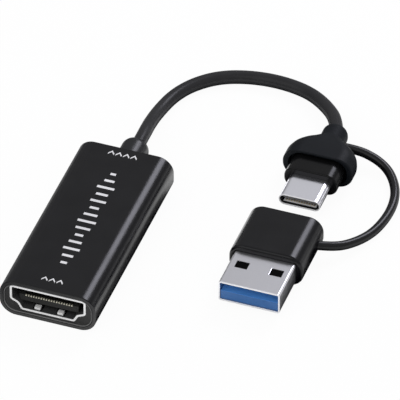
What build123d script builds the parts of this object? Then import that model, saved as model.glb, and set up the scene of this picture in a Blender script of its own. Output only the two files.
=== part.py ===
from build123d import *
import math
import os

# A small video capture box on its short cable. The box lies flat with its video socket towards -Y and
# its cable leaving towards +Y. The cable loops round to the hood of a slim reversible plug, and a thin
# tether joins that hood to an adapter with a wide plug, which slides onto the slim one. The origin is the
# bottom centre of the box, +Z is up, and lengths are in millimetres.

# Housing: an extruded sleeve closed by two plates
box_width = 19.0
box_height = 8.0
box_length = 43.0
box_corner_radius = 3.2
sleeve_wall = 0.8
mouth_bevel = 0.2
plate_recess = 0.3
plate_thickness = 1.5
plate_clearance = 0.05
guide_reach = 0.7
guide_height = 0.6
guide_clearance = 0.05

# Video socket, its wider edge up
socket_side_margin = 2.0
socket_floor_height = 1.55
socket_roof_margin = 1.0
socket_wall = 0.45
socket_depth = 11.0
socket_corner_radius = 0.7
socket_proud = 0.15
socket_clearance = 0.05
# Corners of half the outline, as shares of the half width, and of the height below the top edge
socket_outline_shares = ((1.0, 0.0), (1.0, 0.61), (0.8, 0.74), (0.7, 1.0))
spring_pitch = 4.5
spring_width = 1.1
spring_length = 4.5
spring_setback = 0.55
spring_slot = 0.35
spring_bump_height = 0.35
spring_bump_length = 0.9

# Contact carrier inside the video socket
carrier_block_depth = 3.0
carrier_fit = 0.03
tongue_side_gap = 1.7
tongue_thickness = 1.4
tongue_setback = 0.75
tongue_centre_drop = 0.225
video_contact_margin = 1.1
video_contact_pitch = 0.5
video_contact_width = 0.3
video_contact_thickness = 0.12
video_contact_proud = 0.04
video_contact_setback = 0.15
contact_landing = 1.2

# Main circuit board and what is soldered to it
board_thickness = 1.2
board_side_gap = 0.15
board_rear_gap = 2.4
chip_size = 9.0
chip_thickness = 0.9
pad_size = 8.4
flash_length = 4.9
flash_width = 3.9
flash_height = 1.4
crystal_length = 3.2
crystal_width = 2.5
crystal_height = 0.8
regulator_length = 2.9
regulator_width = 1.6
regulator_height = 1.1
inductor_size = 3.0
inductor_height = 1.5
capacitor_length = 1.0
capacitor_width = 0.5
capacitor_height = 0.5
resistor_length = 1.6
resistor_width = 0.8
resistor_height = 0.4
# Centres in front of and beside the main chip, as shares of the board's half width and half length
chip_place_shares = (0.0, -0.18)
front_capacitor_shares = (
    (-0.82, -0.55), (-0.82, -0.4), (-0.82, -0.25), (-0.82, -0.1),
    (0.82, -0.55), (0.82, -0.4), (0.82, -0.25), (0.82, -0.1),
    (-0.2, -0.78), (0.0, -0.78), (0.2, -0.78),
)
front_resistor_shares = ((-0.68, -0.78), (0.68, -0.78), (0.78, 0.08))
# Centres behind the main chip, as shares of the board's half width and of the length left behind the chip
flash_place_shares = (0.5, 0.31)
crystal_place_shares = (-0.62, 0.19)
regulator_place_shares = (-0.62, 0.5)
inductor_place_shares = (-0.12, 0.38)
rear_capacitor_shares = ((-0.62, 0.67), (0.34, 0.67))
rear_resistor_shares = ((0.62, 0.67),)

# Four wires from the cable, each soldered to the board
wire_names = ("red_wire", "white_wire", "green_wire", "black_wire")
wire_diameter = 0.55
wire_pitch = 1.2
wire_landing = 1.3
solder_width = 0.9
solder_length = 0.8
solder_height = 0.45
solder_bevel = 0.15

# Strain relief in the rear plate
relief_diameter = 5.4
relief_length = 6.8
relief_end_radius = 2.0
relief_neck_clearance = 0.03
relief_flange_gap = 0.6
relief_flange_lip = 0.5
relief_flange_thickness = 0.9

# Cable: first and last points are inside the strain relief and the plug's hood
cable_diameter = 2.65
cable_route = (
    (0.0, 25.6, 4.0),
    (0.0, 30.8, 4.0),
    (-0.6, 36.2, 2.7),
    (-0.6, 41.7, 1.55),
    (0.4, 46.8, 1.35),
    (2.8, 51.2, 1.35),
    (6.8, 54.9, 1.35),
    (12.1, 56.9, 1.35),
    (18.1, 57.5, 1.35),
    (24.2, 56.4, 1.4),
    (28.8, 53.2, 1.9),
    (32.8, 48.4, 2.8),
    (34.2, 43.6, 3.5),
)

# Slim reversible plug: its centre line runs along Y, beside the box
plug_axis_x = 34.1
plug_tip_y = 22.45
plug_width = 8.25
plug_height = 2.4
plug_wall = 0.25
plug_exposed = 6.5
plug_seat = 3.0
plug_fit = 0.03
plug_slot_width = 6.9
plug_slot_height = 1.0
plug_slot_depth = 4.8
plug_filler_setback = 0.3
pin_count = 12
pin_pitch = 0.5
pin_width = 0.25
pin_thickness = 0.1
plug_pin_setback = 0.6
plug_pin_landing = 1.2
plug_board_width = 6.6
plug_board_length = 6.0

# Glossy collar round the plug, and the soft hood over the collar
collar_width = 10.6
collar_height = 4.8
collar_corner_radius = 2.2
collar_edge_radius = 0.3
collar_exposed = 4.05
collar_hidden = 5.0
collar_rear_wall = 1.0
hood_width = 14.0
hood_height = 6.8
hood_straight = 2.2
hood_taper = 6.1
hood_round_share = 0.485
hood_neck_diameter = 5.0
hood_mouth_radius = 0.4
hood_recess_gap = 0.5
hood_recess_depth = 1.3
hood_fit = 0.05
# Shares of the taper's length, of the width left above the neck, and of the height left above it
hood_taper_shares = ((0.0, 1.0, 1.0), (0.28, 0.9, 0.95), (0.52, 0.66, 0.72), (0.75, 0.28, 0.34), (1.0, 0.0, 0.0))
knuckle_length = 3.7
knuckle_end_radius = 1.7

# Tether: from the side of the hood to a hole in the side of the adapter
tether_diameter = 1.8
tether_hole_clearance = 0.12
tether_route = (
    (35.2, 40.7, 3.4),
    (39.1, 41.5, 2.95),
    (42.8, 41.3, 2.05),
    (45.8, 39.9, 1.3),
    (48.0, 37.1, 0.97),
    (49.5, 33.6, 0.95),
    (50.2, 29.5, 0.95),
    (49.5, 25.2, 0.97),
    (48.8, 21.2, 1.1),
    (47.0, 17.5, 1.6),
    (44.3, 13.9, 2.4),
    (40.9, 12.6, 3.0),
)

# Adapter: slim socket at the rear, wide plug at the front
adapter_width = 14.6
adapter_height = 7.0
adapter_length = 12.6
adapter_corner_radius = 3.0
adapter_edge_radius = 0.6
adapter_rear_y = 15.8
adapter_cavity_clearance = 0.1
adapter_cavity_radius = 0.4
adapter_cover_thickness = 1.0
adapter_board_thickness = 0.8
slim_socket_clearance = 0.08
slim_socket_wall = 0.3
slim_socket_length = 7.2
slim_socket_base = 0.6
slim_socket_tongue_width = 6.7
slim_socket_tongue_thickness = 0.7
slim_socket_tongue_length = 4.5
adapter_stop_gap = 0.15

# Wide plug
wide_plug_width = 12.0
wide_plug_height = 4.5
wide_plug_wall = 0.3
wide_plug_corner_radius = 0.45
wide_plug_exposed = 9.4
window_width = 2.4
window_length = 1.9
window_pitch = 6.8
window_setback = 5.9
wide_tongue_setback = 0.3
wide_tongue_thickness = 1.9
wide_tongue_fit = 0.03
wide_block_depth = 3.2
wide_pad_width = 1.0
wide_pad_length = 5.0
wide_pad_setback = 2.4
wide_pad_pitch = 2.2
wide_pad_count = 4
wide_strip_width = 0.6
wide_strip_pitch = 2.0
wide_strip_count = 5
wide_strip_gap = 0.5
wide_contact_thickness = 0.1

overrun = 1.0

# Places that follow from the sizes above
front_y = -box_length / 2
rear_y = box_length / 2
inner_width = box_width - 2 * sleeve_wall
inner_height = box_height - 2 * sleeve_wall
inner_radius = box_corner_radius - sleeve_wall
plate_front_y = front_y + plate_recess
rear_plate_inner_y = rear_y - plate_recess - plate_thickness
rear_plate_outer_y = rear_y - plate_recess
socket_width = box_width - 2 * socket_side_margin
socket_height = box_height - socket_floor_height - socket_roof_margin
socket_front_y = plate_front_y - socket_proud
socket_rear_y = socket_front_y + socket_depth
socket_centre_z = socket_floor_height + socket_height / 2
tongue_width = socket_width - 2 * tongue_side_gap
tongue_centre_z = socket_centre_z - tongue_centre_drop
contact_span = tongue_width - 2 * video_contact_margin - video_contact_width
video_contact_count = 1 + int(contact_span / video_contact_pitch)
board_top_z = tongue_centre_z + tongue_thickness / 2 - video_contact_thickness + video_contact_proud
board_bottom_z = board_top_z - board_thickness
relief_axis_z = box_height / 2
relief_flange_diameter = inner_height - 2 * relief_flange_gap
relief_neck_diameter = relief_flange_diameter - 2 * relief_flange_lip
relief_inner_y = rear_plate_inner_y - relief_flange_thickness
relief_end_y = rear_plate_outer_y + relief_length
board_width = inner_width - 2 * board_side_gap
board_rear_y = relief_inner_y - board_rear_gap
board_length = board_rear_y - socket_rear_y
board_centre_y = (socket_rear_y + board_rear_y) / 2
chip_rear_y = board_centre_y + chip_place_shares[1] * board_length / 2 + chip_size / 2
plug_axis_z = adapter_height / 2
collar_front_y = plug_tip_y + plug_exposed
hood_mouth_y = collar_front_y + collar_exposed
collar_rear_y = hood_mouth_y + collar_hidden
hood_neck_y = hood_mouth_y + hood_straight + hood_taper
plug_rear_y = collar_front_y + plug_seat
plug_pin_length = plug_rear_y + plug_pin_landing - plug_tip_y - plug_pin_setback
adapter_front_y = adapter_rear_y - adapter_length
slim_socket_front_y = adapter_rear_y - slim_socket_length
adapter_board_y = slim_socket_front_y - adapter_board_thickness
wide_plug_tip_y = adapter_front_y - wide_plug_exposed
wide_plug_length = adapter_board_y - wide_plug_tip_y
cavity_width = wide_plug_width + 2 * adapter_cavity_clearance
cavity_height = wide_plug_height + 2 * adapter_cavity_clearance
wide_tongue_floor_z = plug_axis_z - wide_plug_height / 2 + wide_plug_wall + wide_tongue_fit
wide_tongue_top_z = wide_tongue_floor_z + wide_tongue_thickness


def front_view(x, y, z):
    """A plane that faces the video end: local x is +X, local y is +Z, and extrusions run towards -Y."""
    return Plane(origin=(x, y, z), x_dir=(1, 0, 0), z_dir=(0, -1, 0))


def side_view(x, z):
    """A plane along a centre line in Y: local x is +Y and local y is +Z."""
    return Plane(origin=(x, 0, z), x_dir=(0, 1, 0), z_dir=(1, 0, 0))


def finish(piece, name):
    """Label a finished piece and write it under its own name."""
    piece.label = name
    export_step(piece, f"parts/{name}.step")


def socket_profile(growth):
    """The video socket's outline, grown or shrunk all round."""
    half = [
        (across * socket_width / 2, (0.5 - down) * socket_height)
        for across, down in socket_outline_shares
    ]
    corners = half + [(-x, z) for x, z in reversed(half)]
    with BuildSketch() as profile:
        with BuildLine():
            Polyline(*corners, close=True)
        make_face()
        fillet(profile.vertices(), radius=socket_corner_radius)
        if growth:
            offset(amount=growth)
    return profile.sketch


def on_board(place_shares):
    """A place on the board from its shares of the half width and half length."""
    return (place_shares[0] * board_width / 2, board_centre_y + place_shares[1] * board_length / 2)


def behind_chip(place_shares):
    """A place from its shares of the board's half width and of the length left behind the main chip."""
    return (
        place_shares[0] * board_width / 2,
        chip_rear_y + place_shares[1] * (board_rear_y - chip_rear_y),
    )


def board_blocks(places, length, width, height):
    """Blocks that stand on the board's top face, one at each place."""
    with BuildPart() as blocks:
        with BuildSketch(Plane.XY.offset(board_top_z)):
            with Locations(*places):
                Rectangle(length, width)
        extrude(amount=height)
    return blocks.part


def tube_radii(route):
    """One arc radius for each corner: 0.45 of the shorter run over the tangent of half the turn."""
    points = [Vector(*point) for point in route]
    radii = []
    for before, here, after in zip(points, points[1:], points[2:]):
        run_in = here - before
        run_out = after - here
        half_turn = math.radians(run_in.get_angle(run_out)) / 2
        radii.append(0.45 * min(run_in.length, run_out.length) / math.tan(half_turn))
    return radii


def cord(route, diameter, name):
    """A tube along straight runs joined by tangent arcs."""
    radii = tube_radii(route)
    start = Vector(*route[0])
    with BuildPart() as tube:
        with BuildLine() as path:
            FilletPolyline(*route, radius=radii)
        with BuildSketch(Plane(origin=start, z_dir=Vector(*route[1]) - start)):
            Circle(diameter / 2)
        sweep()
    length = sum(edge.length for edge in path.edges())
    section = math.pi * diameter ** 2 / 4
    print(name, "length", round(length, 1), "least radius", round(min(radii), 1))
    print(name, "radii", [round(radius, 1) for radius in radii])
    print(name, "volume over section times length", round(tube.part.volume / (section * length), 4))
    return tube.part


def bore_plane(inner_point, outer_point):
    """A plane at the inner point whose normal runs out along the cord."""
    inner = Vector(*inner_point)
    return Plane(origin=inner, z_dir=Vector(*outer_point) - inner)


def pin_row(z, count, pitch, width, thickness, plane_y, length):
    """A row of flat pins along Y on the plug's centre line, their rear ends at plane_y."""
    with BuildPart() as row:
        with BuildSketch(front_view(plug_axis_x, plane_y, z)):
            with GridLocations(pitch, 0, count, 1):
                Rectangle(width, thickness)
        extrude(amount=length)
    return row.part


os.makedirs("parts", exist_ok=True)

# Housing sleeve, with a pair of guides for the board's edges on each inner side
with BuildPart() as housing_sleeve:
    with BuildSketch(front_view(0, rear_y, box_height / 2)):
        RectangleRounded(box_width, box_height, box_corner_radius)
        RectangleRounded(inner_width, inner_height, inner_radius, mode=Mode.SUBTRACT)
    extrude(amount=box_length)
    ends = housing_sleeve.faces().filter_by(Axis.Y).group_by(Axis.Y)
    chamfer((ends[0] + ends[-1]).edges(), length=mouth_bevel)
    guide_x = inner_width / 2 - guide_reach / 2
    guide_heights = (
        board_top_z + guide_clearance + guide_height / 2,
        board_bottom_z - guide_clearance - guide_height / 2,
    )
    with BuildSketch(front_view(0, board_rear_y, 0)):
        with Locations(*[(side * guide_x, z) for side in (-1, 1) for z in guide_heights]):
            Rectangle(guide_reach, guide_height)
    extrude(amount=board_length)
finish(housing_sleeve.part, "housing_sleeve")

# Front plate, cut out for the video socket
with BuildPart() as front_plate:
    with BuildSketch(front_view(0, plate_front_y + plate_thickness, box_height / 2)):
        RectangleRounded(
            inner_width - 2 * plate_clearance,
            inner_height - 2 * plate_clearance,
            inner_radius - plate_clearance,
        )
    extrude(amount=plate_thickness)
    with BuildSketch(front_view(0, plate_front_y + plate_thickness, socket_centre_z)):
        add(socket_profile(socket_clearance))
    extrude(amount=plate_thickness, mode=Mode.SUBTRACT)
finish(front_plate.part, "front_plate")

# Rear plate, bored for the strain relief's neck
with BuildPart() as rear_plate:
    with BuildSketch(front_view(0, rear_plate_outer_y, box_height / 2)):
        RectangleRounded(
            inner_width - 2 * plate_clearance,
            inner_height - 2 * plate_clearance,
            inner_radius - plate_clearance,
        )
    extrude(amount=plate_thickness)
    with BuildSketch(front_view(0, rear_plate_outer_y, relief_axis_z)):
        Circle(relief_neck_diameter / 2 + relief_neck_clearance)
    extrude(amount=plate_thickness, mode=Mode.SUBTRACT)
finish(rear_plate.part, "rear_plate")

# Video socket's metal shell, with two latch springs in its floor and two in its roof
with BuildPart() as video_socket_shell:
    with BuildSketch(front_view(0, socket_rear_y, socket_centre_z)):
        add(socket_profile(0))
        add(socket_profile(-socket_wall), mode=Mode.SUBTRACT)
    extrude(amount=socket_depth)
    for side in (-1, 1):
        wall_z = socket_centre_z + side * (socket_height - socket_wall) / 2
        bump_z = wall_z - side * (socket_wall + spring_bump_height) / 2
        spring_rear_y = socket_front_y + spring_setback + spring_length
        bump_rear_y = socket_front_y + spring_setback + spring_bump_length
        with BuildSketch(front_view(0, spring_rear_y, wall_z)):
            with GridLocations(spring_pitch, 0, 2, 1):
                Rectangle(spring_width + 2 * spring_slot, socket_wall)
        extrude(amount=spring_length + spring_slot / 2, mode=Mode.SUBTRACT)
        with BuildSketch(front_view(0, spring_rear_y, wall_z)):
            with GridLocations(spring_pitch, 0, 2, 1):
                Rectangle(spring_width, socket_wall)
        extrude(amount=spring_length)
        with BuildSketch(front_view(0, bump_rear_y, bump_z)):
            with GridLocations(spring_pitch, 0, 2, 1):
                Rectangle(spring_width, spring_bump_height)
        extrude(amount=spring_bump_length)
finish(video_socket_shell.part, "video_socket_shell")

# Video contacts: one row on the tongue, running back onto the board
video_contact_front_y = socket_front_y + tongue_setback + video_contact_setback
with BuildPart() as video_contacts:
    with BuildSketch(
        front_view(0, socket_rear_y + contact_landing, board_top_z + video_contact_thickness / 2)
    ):
        with GridLocations(video_contact_pitch, 0, video_contact_count, 1):
            Rectangle(video_contact_width, video_contact_thickness)
    extrude(amount=socket_rear_y + contact_landing - video_contact_front_y)
finish(video_contacts.part, "video_contacts")

# Contact carrier: a block that fills the back of the shell, and the tongue in front of it
with BuildPart() as contact_carrier:
    with BuildSketch(front_view(0, socket_rear_y, socket_centre_z)):
        add(socket_profile(-socket_wall - carrier_fit))
    extrude(amount=carrier_block_depth)
    with BuildSketch(front_view(0, socket_rear_y, tongue_centre_z)):
        Rectangle(tongue_width, tongue_thickness)
    extrude(amount=socket_depth - tongue_setback)
    add(video_contacts.part, mode=Mode.SUBTRACT)
finish(contact_carrier.part, "contact_carrier")

# Main board
with BuildPart() as main_board:
    with BuildSketch(Plane.XY.offset(board_bottom_z)):
        with Locations((0, board_centre_y)):
            Rectangle(board_width, board_length)
    extrude(amount=board_thickness)
finish(main_board.part, "main_board")

# Chips and other parts on the board, and the pad that carries the main chip's heat to the sleeve
chip_place = on_board(chip_place_shares)
flash_place = behind_chip(flash_place_shares)
crystal_place = behind_chip(crystal_place_shares)
regulator_place = behind_chip(regulator_place_shares)
inductor_place = behind_chip(inductor_place_shares)
capacitor_places = [on_board(place) for place in front_capacitor_shares]
capacitor_places += [behind_chip(place) for place in rear_capacitor_shares]
resistor_places = [on_board(place) for place in front_resistor_shares]
resistor_places += [behind_chip(place) for place in rear_resistor_shares]
finish(board_blocks([chip_place], chip_size, chip_size, chip_thickness), "capture_chip")
finish(board_blocks([flash_place], flash_length, flash_width, flash_height), "flash_memory")
finish(board_blocks([crystal_place], crystal_length, crystal_width, crystal_height), "clock_crystal")
finish(
    board_blocks([regulator_place], regulator_length, regulator_width, regulator_height),
    "voltage_regulator",
)
finish(board_blocks([inductor_place], inductor_size, inductor_size, inductor_height), "power_inductor")
finish(
    board_blocks(capacitor_places, capacitor_length, capacitor_width, capacitor_height), "capacitors"
)
finish(board_blocks(resistor_places, resistor_length, resistor_width, resistor_height), "resistors")
chip_top_z = board_top_z + chip_thickness
with BuildPart() as thermal_pad:
    with BuildSketch(Plane.XY.offset(chip_top_z)):
        with Locations(chip_place):
            Rectangle(pad_size, pad_size)
    extrude(amount=box_height - sleeve_wall - chip_top_z)
finish(thermal_pad.part, "thermal_pad")

# Wires: straight from the strain relief onto the board, each with its solder joint
wire_end_y = board_rear_y - wire_landing
wire_places = [(index - (len(wire_names) - 1) / 2) * wire_pitch for index in range(len(wire_names))]
for name, x in zip(wire_names, wire_places):
    with BuildPart() as wire:
        with BuildSketch(front_view(x, relief_inner_y, board_top_z + wire_diameter / 2)):
            Circle(wire_diameter / 2)
        extrude(amount=relief_inner_y - wire_end_y)
    finish(wire.part, name)

with BuildPart() as solder_joints:
    with BuildSketch(Plane.XY.offset(board_top_z)):
        with Locations(*[(x, wire_end_y - solder_length / 2) for x in wire_places]):
            Rectangle(solder_width, solder_length)
    extrude(amount=solder_height)
    chamfer(solder_joints.faces().sort_by(Axis.Z)[-len(wire_names):].edges(), length=solder_bevel)
finish(solder_joints.part, "solder_joints")

# Strain relief: inner flange, neck through the rear plate, and the rounded boot outside
with BuildPart() as cable_strain_relief:
    with BuildSketch(side_view(0, relief_axis_z)) as relief_half:
        with BuildLine():
            Polyline(
                (relief_inner_y, 0),
                (relief_inner_y, relief_flange_diameter / 2),
                (rear_plate_inner_y, relief_flange_diameter / 2),
                (rear_plate_inner_y, relief_neck_diameter / 2),
                (rear_plate_outer_y, relief_neck_diameter / 2),
                (rear_plate_outer_y, relief_diameter / 2),
                (relief_end_y, relief_diameter / 2),
                (relief_end_y, 0),
                close=True,
            )
        make_face()
        boot_corner = relief_half.vertices().group_by(Axis.X)[-1].sort_by(Axis.Y)[-1]
        fillet(boot_corner, radius=relief_end_radius)
    revolve(axis=Axis((0, 0, relief_axis_z), (0, 1, 0)))
    with BuildSketch(bore_plane(cable_route[0], cable_route[1])):
        Circle(cable_diameter / 2)
    extrude(amount=relief_end_y - cable_route[0][1] + overrun, mode=Mode.SUBTRACT)
finish(cable_strain_relief.part, "cable_strain_relief")

# Cable and tether
cable_jacket = cord(cable_route, cable_diameter, "cable_jacket")
finish(cable_jacket, "cable_jacket")
tether_cord = cord(tether_route, tether_diameter, "tether_cord")
finish(tether_cord, "tether_cord")

# Slim plug: shell, pins, filler and the small board behind them
with BuildPart() as slim_plug_shell:
    with BuildSketch(front_view(plug_axis_x, plug_rear_y, plug_axis_z)):
        SlotOverall(plug_width, plug_height)
        SlotOverall(plug_width - 2 * plug_wall, plug_height - 2 * plug_wall, mode=Mode.SUBTRACT)
    extrude(amount=plug_exposed + plug_seat)
finish(slim_plug_shell.part, "slim_plug_shell")

plug_pin_z = (plug_slot_height - pin_thickness) / 2
with BuildPart() as slim_plug_pins:
    for side in (-1, 1):
        add(pin_row(
            plug_axis_z + side * plug_pin_z, pin_count, pin_pitch, pin_width, pin_thickness,
            plug_rear_y + plug_pin_landing, plug_pin_length,
        ))
finish(slim_plug_pins.part, "slim_plug_pins")

filler_width = plug_width - 2 * plug_wall - 2 * plug_fit
filler_height = plug_height - 2 * plug_wall - 2 * plug_fit
with BuildPart() as slim_plug_filler:
    with BuildSketch(front_view(plug_axis_x, plug_rear_y, plug_axis_z)):
        SlotOverall(filler_width, filler_height)
        Rectangle(plug_slot_width, plug_slot_height, mode=Mode.SUBTRACT)
    extrude(amount=plug_rear_y - plug_tip_y - plug_filler_setback)
finish(slim_plug_filler.part, "slim_plug_filler")

plug_board_front_y = plug_tip_y + plug_slot_depth
with BuildPart() as plug_board:
    with BuildSketch(front_view(plug_axis_x, plug_board_front_y + plug_board_length, plug_axis_z)):
        Rectangle(plug_board_width, plug_slot_height - 2 * pin_thickness)
    extrude(amount=plug_board_length)
finish(plug_board.part, "plug_board")

# Collar: a rounded block with a pocket for the plug and its board
with BuildPart() as plug_collar:
    with BuildSketch(front_view(plug_axis_x, collar_rear_y, plug_axis_z)):
        RectangleRounded(collar_width, collar_height, collar_corner_radius)
    extrude(amount=collar_exposed + collar_hidden)
    fillet(plug_collar.faces().sort_by(Axis.Y)[0].edges(), radius=collar_edge_radius)
    with BuildSketch(front_view(plug_axis_x, collar_rear_y - collar_rear_wall, plug_axis_z)):
        SlotOverall(plug_width + 2 * plug_fit, plug_height + 2 * plug_fit)
    extrude(amount=collar_exposed + collar_hidden - collar_rear_wall, mode=Mode.SUBTRACT)
finish(plug_collar.part, "plug_collar")

# Hood: straight at its mouth, tapering to a neck, then a round knuckle where the cable goes in
with BuildPart() as plug_hood:
    with BuildSketch(front_view(plug_axis_x, hood_mouth_y + hood_straight, plug_axis_z)):
        RectangleRounded(hood_width, hood_height, hood_round_share * hood_height)
    extrude(amount=hood_straight)
    fillet(plug_hood.faces().sort_by(Axis.Y)[0].edges(), radius=hood_mouth_radius)
    for along, wide, high in hood_taper_shares:
        section_width = hood_neck_diameter + wide * (hood_width - hood_neck_diameter)
        section_height = hood_neck_diameter + high * (hood_height - hood_neck_diameter)
        section_y = hood_mouth_y + hood_straight + along * hood_taper
        with BuildSketch(front_view(plug_axis_x, section_y, plug_axis_z)):
            RectangleRounded(section_width, section_height, hood_round_share * section_height)
    loft()
    with BuildSketch(front_view(plug_axis_x, hood_neck_y + knuckle_length, plug_axis_z)):
        Circle(hood_neck_diameter / 2)
    extrude(amount=knuckle_length + overrun)
    fillet(plug_hood.faces().sort_by(Axis.Y)[-1].edges(), radius=knuckle_end_radius)
    with BuildSketch(front_view(plug_axis_x, collar_rear_y, plug_axis_z)):
        RectangleRounded(
            collar_width + 2 * hood_fit, collar_height + 2 * hood_fit, collar_corner_radius + hood_fit
        )
    extrude(amount=collar_hidden, mode=Mode.SUBTRACT)
    with BuildSketch(front_view(plug_axis_x, hood_mouth_y + hood_recess_depth, plug_axis_z)):
        RectangleRounded(
            collar_width + 2 * hood_recess_gap,
            collar_height + 2 * hood_recess_gap,
            collar_corner_radius + hood_recess_gap,
        )
    extrude(amount=hood_recess_depth, mode=Mode.SUBTRACT)
    with BuildSketch(bore_plane(cable_route[-1], cable_route[-2])):
        Circle(cable_diameter / 2)
    extrude(amount=hood_neck_diameter, mode=Mode.SUBTRACT)
    with BuildSketch(bore_plane(tether_route[0], tether_route[1])):
        Circle(tether_diameter / 2)
    extrude(amount=hood_neck_diameter, mode=Mode.SUBTRACT)
finish(plug_hood.part, "plug_hood")

# Adapter shell: a rounded body with one cavity from end to end and a hole for the tether
with BuildPart() as adapter_shell:
    with BuildSketch(front_view(plug_axis_x, adapter_rear_y, plug_axis_z)):
        RectangleRounded(adapter_width, adapter_height, adapter_corner_radius)
    extrude(amount=adapter_length)
    adapter_ends = adapter_shell.faces().filter_by(Axis.Y)
    fillet(adapter_ends.edges(), radius=adapter_edge_radius)
    with BuildSketch(front_view(plug_axis_x, adapter_rear_y, plug_axis_z)):
        RectangleRounded(cavity_width, cavity_height, adapter_cavity_radius)
    extrude(amount=adapter_length, mode=Mode.SUBTRACT)
    with BuildSketch(bore_plane(tether_route[-1], tether_route[-2])):
        Circle(tether_diameter / 2 + tether_hole_clearance)
    extrude(amount=hood_neck_diameter, mode=Mode.SUBTRACT)
finish(adapter_shell.part, "adapter_shell")

# Rear cover of the adapter, cut out for the slim socket
slim_socket_inner_width = plug_width + 2 * slim_socket_clearance
slim_socket_inner_height = plug_height + 2 * slim_socket_clearance
slim_socket_outer_width = slim_socket_inner_width + 2 * slim_socket_wall
slim_socket_outer_height = slim_socket_inner_height + 2 * slim_socket_wall
with BuildPart() as adapter_rear_cover:
    with BuildSketch(front_view(plug_axis_x, adapter_rear_y, plug_axis_z)):
        RectangleRounded(
            cavity_width - 2 * plate_clearance, cavity_height - 2 * plate_clearance, adapter_cavity_radius
        )
        SlotOverall(
            slim_socket_outer_width + 2 * plug_fit, slim_socket_outer_height + 2 * plug_fit, mode=Mode.SUBTRACT
        )
    extrude(amount=adapter_cover_thickness)
finish(adapter_rear_cover.part, "adapter_rear_cover")

# Slim socket: shell, pins, and the tongue on its base
with BuildPart() as slim_socket_shell:
    with BuildSketch(front_view(plug_axis_x, adapter_rear_y, plug_axis_z)):
        SlotOverall(slim_socket_outer_width, slim_socket_outer_height)
        SlotOverall(slim_socket_inner_width, slim_socket_inner_height, mode=Mode.SUBTRACT)
    extrude(amount=slim_socket_length)
finish(slim_socket_shell.part, "slim_socket_shell")

socket_pin_z = (slim_socket_tongue_thickness - pin_thickness) / 2
socket_pin_length = slim_socket_base + slim_socket_tongue_length - plug_pin_setback
with BuildPart() as slim_socket_pins:
    for side in (-1, 1):
        add(pin_row(
            plug_axis_z + side * socket_pin_z, pin_count, pin_pitch, pin_width, pin_thickness,
            slim_socket_front_y + socket_pin_length, socket_pin_length,
        ))
finish(slim_socket_pins.part, "slim_socket_pins")

slim_socket_base_y = slim_socket_front_y + slim_socket_base
with BuildPart() as slim_socket_tongue:
    with BuildSketch(front_view(plug_axis_x, slim_socket_base_y, plug_axis_z)):
        SlotOverall(slim_socket_inner_width - 2 * plug_fit, slim_socket_inner_height - 2 * plug_fit)
    extrude(amount=slim_socket_base)
    with BuildSketch(front_view(plug_axis_x, slim_socket_base_y + slim_socket_tongue_length, plug_axis_z)):
        Rectangle(slim_socket_tongue_width, slim_socket_tongue_thickness)
    extrude(amount=slim_socket_tongue_length)
    add(slim_socket_pins.part, mode=Mode.SUBTRACT)
finish(slim_socket_tongue.part, "slim_socket_tongue")

# Board that stands between the two connectors
with BuildPart() as adapter_board:
    with BuildSketch(front_view(plug_axis_x, slim_socket_front_y, plug_axis_z)):
        RectangleRounded(
            cavity_width - 2 * plate_clearance, cavity_height - 2 * plate_clearance, adapter_cavity_radius
        )
    extrude(amount=adapter_board_thickness)
finish(adapter_board.part, "adapter_board")

# Wide plug: shell with its latch windows, contacts, and the tongue they lie on
wide_inner_radius = wide_plug_corner_radius - wide_plug_wall
with BuildPart() as wide_plug_shell:
    with BuildSketch(front_view(plug_axis_x, adapter_board_y, plug_axis_z)):
        RectangleRounded(wide_plug_width, wide_plug_height, wide_plug_corner_radius)
        RectangleRounded(
            wide_plug_width - 2 * wide_plug_wall,
            wide_plug_height - 2 * wide_plug_wall,
            wide_inner_radius,
            mode=Mode.SUBTRACT,
        )
    extrude(amount=wide_plug_length)
    with BuildSketch(Plane.XY.offset(plug_axis_z - wide_plug_height / 2)):
        with Locations((plug_axis_x, wide_plug_tip_y + window_setback)):
            with GridLocations(window_pitch, 0, 2, 1):
                Rectangle(window_width, window_length)
    extrude(amount=wide_plug_height, mode=Mode.SUBTRACT)
finish(wide_plug_shell.part, "wide_plug_shell")

wide_contact_z = wide_tongue_top_z - wide_contact_thickness / 2
wide_pad_rear_y = wide_plug_tip_y + wide_pad_setback + wide_pad_length
wide_strip_length = adapter_board_y - wide_pad_rear_y - wide_strip_gap
with BuildPart() as wide_plug_contacts:
    add(pin_row(
        wide_contact_z, wide_pad_count, wide_pad_pitch, wide_pad_width, wide_contact_thickness,
        wide_pad_rear_y, wide_pad_length,
    ))
    add(pin_row(
        wide_contact_z, wide_strip_count, wide_strip_pitch, wide_strip_width, wide_contact_thickness,
        adapter_board_y, wide_strip_length,
    ))
finish(wide_plug_contacts.part, "wide_plug_contacts")

wide_inner_width = wide_plug_width - 2 * wide_plug_wall - 2 * wide_tongue_fit
wide_inner_height = wide_plug_height - 2 * wide_plug_wall - 2 * wide_tongue_fit
with BuildPart() as wide_plug_tongue:
    with BuildSketch(front_view(plug_axis_x, adapter_board_y, plug_axis_z)):
        RectangleRounded(wide_inner_width, wide_inner_height, wide_inner_radius)
    extrude(amount=wide_block_depth)
    with BuildSketch(
        front_view(plug_axis_x, adapter_board_y, wide_tongue_floor_z + wide_tongue_thickness / 2)
    ):
        RectangleRounded(wide_inner_width, wide_tongue_thickness, wide_inner_radius)
    extrude(amount=wide_plug_length - wide_tongue_setback)
    add(wide_plug_contacts.part, mode=Mode.SUBTRACT)
finish(wide_plug_tongue.part, "wide_plug_tongue")

slide_travel = collar_front_y - adapter_rear_y - adapter_stop_gap
print("adapter slide travel", round(slide_travel, 2))
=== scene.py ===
# %% [markdown]
# # A video capture box, its cable and its adapter
#
# The solid model fixes every size and place. This lesson dresses it: it rebuilds the smooth outer pieces
# with fine, even curves, lays the two cords as real splines, and gives every piece a finish of its own.
# Everything is in metres, in the solid model's frame, so a piece is built where it belongs.

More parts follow.
